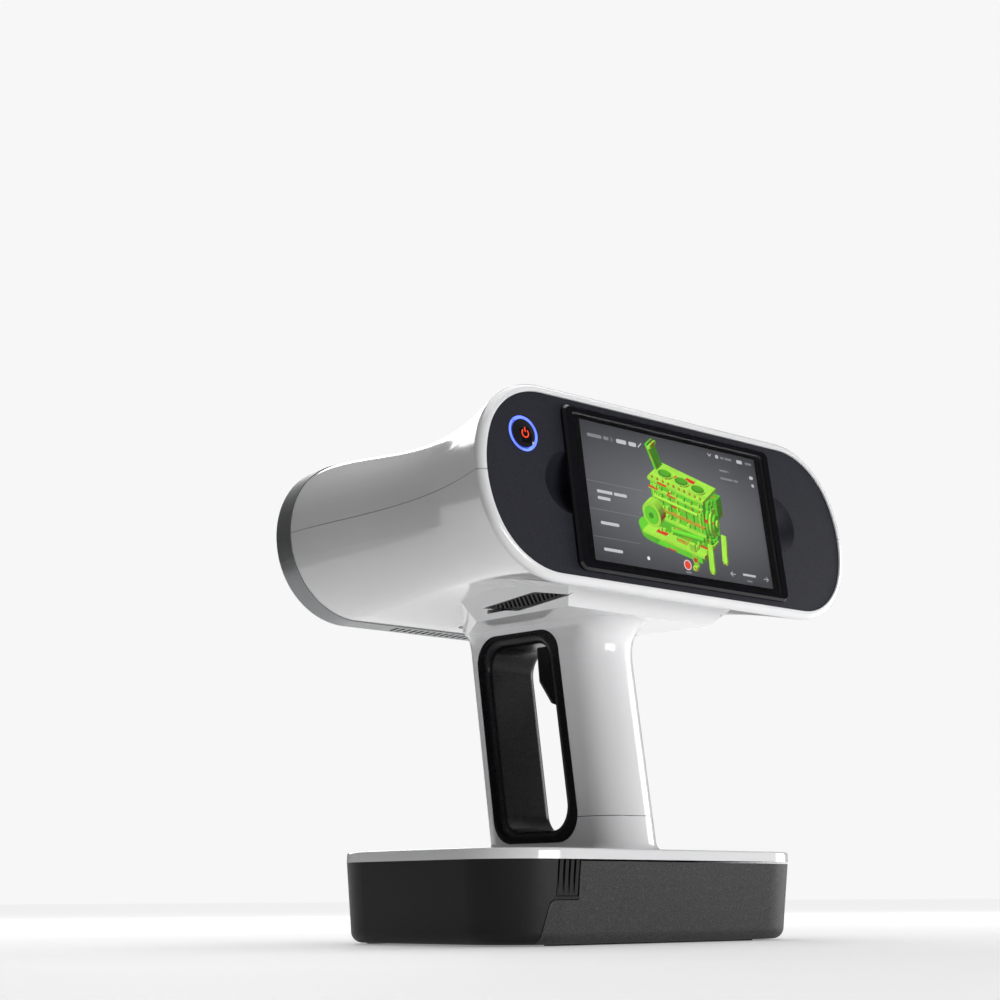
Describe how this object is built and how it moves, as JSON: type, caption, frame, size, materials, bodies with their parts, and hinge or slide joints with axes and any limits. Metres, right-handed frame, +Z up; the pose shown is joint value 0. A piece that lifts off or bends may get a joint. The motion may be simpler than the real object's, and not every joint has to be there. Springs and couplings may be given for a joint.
{
  "type": "handheld 3d scanner",
  "caption": "Cordless handheld 3D scanner with touch screen head, looped handle with finger trigger and a flat base holding a slide-out battery.",
  "frame": {"origin": "middle of the bounding box's bottom face, on the plane the feet stand on", "axes": "+X to the user's right when they face the screen, +Y towards the lens side, +Z up"},
  "size_m": [0.2296, 0.1619, 0.2301],
  "materials": {
    "white_shell": "gloss",
    "ring_metal": "satin",
    "front_panel": "gloss",
    "aluminium": "satin",
    "circuit_board": "matte",
    "led_lens": "gloss",
    "screen_panel": "fine speckle, matte",
    "frame_black": "gloss",
    "display_glass": "gloss",
    "display_module": "matte",
    "light_ring": "lit light guide",
    "button_cap": "gloss",
    "inner_black": "matte",
    "soft_black": "satin soft touch",
    "steel": "brushed",
    "base_black": "satin",
    "battery_grain": "coarse sparkle grain",
    "cell_wrap": "satin",
    "rubber": "matte",
    "vent_black": "matte",
    "lens_barrel": "satin",
    "lens_glass": "gloss"
  },
  "bodies": {
    "scanner_body": {"upper_head_shell": "white_shell", "lower_head_shell": "white_shell", "belly_cover": "white_shell", "handle_grip": "white_shell", "base_cover": "white_shell", "front_ring": "ring_metal", "front_panel": "front_panel", "sensor_bench": "aluminium", "heat_sink": "aluminium", "handle_spine": "aluminium", "flash_board": "circuit_board", "flash_leds": "led_lens", "main_board": "circuit_board", "storage_module": "circuit_board", "camera_board": "circuit_board", "wireless_antenna": "circuit_board", "power_board": "circuit_board", "rear_panel": "screen_panel", "display_frame": "frame_black", "display_glass": "display_glass", "display_module": "display_module", "power_light_ring": "light_ring", "power_switch": "inner_black", "fan_housing": "inner_black", "opening_lining_left": "soft_black", "opening_lining_right": "soft_black", "trigger_pin": "steel", "base_housing": "base_black", "release_spring_left": "steel", "base_plug": "inner_black", "housing_feet": "rubber", "base_screws": "steel", "neck_vent_left": "vent_black", "neck_vent_right": "vent_black", "left_camera_barrel": "lens_barrel", "left_camera_lens": "lens_glass", "right_camera_barrel": "lens_barrel", "right_camera_lens": "lens_glass", "texture_camera_barrel": "lens_barrel", "texture_camera_lens": "lens_glass", "pattern_projector_barrel": "lens_barrel", "pattern_projector_lens": "lens_glass"},
    "power_button": {"power_button": "button_cap"},
    "trigger": {"trigger": "soft_black"},
    "battery_pack": {"battery_case": "battery_grain", "battery_guide": "battery_grain", "battery_lid": "battery_grain", "battery_cells": "cell_wrap", "battery_board": "circuit_board", "battery_socket": "inner_black", "battery_foot": "rubber"},
    "release_button_left": {"release_button_left": "base_black"},
    "fan_impeller": {"fan_impeller": "inner_black"}
  },
  "joints": [
    {"name": "power_button_press", "type": "slide", "parent": "scanner_body", "child": "power_button", "axis": [0, 0.9863, -0.165], "range_m": [0, 0.0008], "stiffness_N_per_m": 600, "springref_m": -0.0006},
    {"name": "trigger_pull", "type": "hinge", "parent": "scanner_body", "child": "trigger", "pos_m": [0, -0.0065, 0.1283], "axis": [-1, 0, 0], "range_deg": [0, 7], "stiffness_Nm_per_rad": 0.3, "springref_deg": -3.44},
    {"name": "battery_slide", "type": "slide", "parent": "scanner_body", "child": "battery_pack", "axis": [0, -1, 0], "range_m": [0, 0.076]},
    {"name": "release_left_press", "type": "slide", "parent": "scanner_body", "child": "release_button_left", "axis": [0, 1, 0], "range_m": [0, 0.0018], "stiffness_N_per_m": 800, "springref_m": -0.0008, "deforming": ["release_spring_left"]},
    {"name": "fan_spin", "type": "hinge", "parent": "scanner_body", "child": "fan_impeller", "pos_m": [0, -0.008, 0.162], "axis": [0, 0, 1], "continuous": true}
  ]
}
